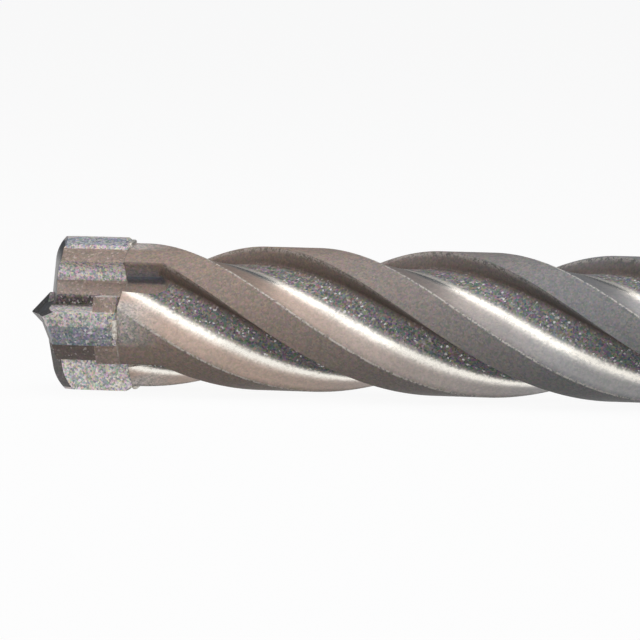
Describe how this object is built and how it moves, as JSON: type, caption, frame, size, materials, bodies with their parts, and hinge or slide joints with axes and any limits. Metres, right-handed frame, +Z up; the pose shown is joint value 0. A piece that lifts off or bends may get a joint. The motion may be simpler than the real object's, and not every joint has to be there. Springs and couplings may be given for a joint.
{
  "type": "masonry drill bit",
  "caption": "Spiral-fluted masonry drill bit with a cross-shaped carbide head, a centring point and a slotted round shank for a rotary hammer.",
  "frame": {"origin": "centre of the overall length, on the surface that the lying bit rests on", "axes": "X along the bit from the point at -X to the shank at +X; +Z up, with the margin flat of the lower cutter facing -Z"},
  "size_m": [0.25, 0.0248, 0.0249],
  "materials": {
    "blasted_steel": "shot-blasted bare steel, satin",
    "ground_carbide": "sintered and blasted carbide with ground cutting faces",
    "silver_braze": "bright braze"
  },
  "bodies": {
    "root": {"steel_body": "blasted_steel", "carbide_head": "ground_carbide", "braze_seam": "silver_braze"}
  },
  "joints": []
}
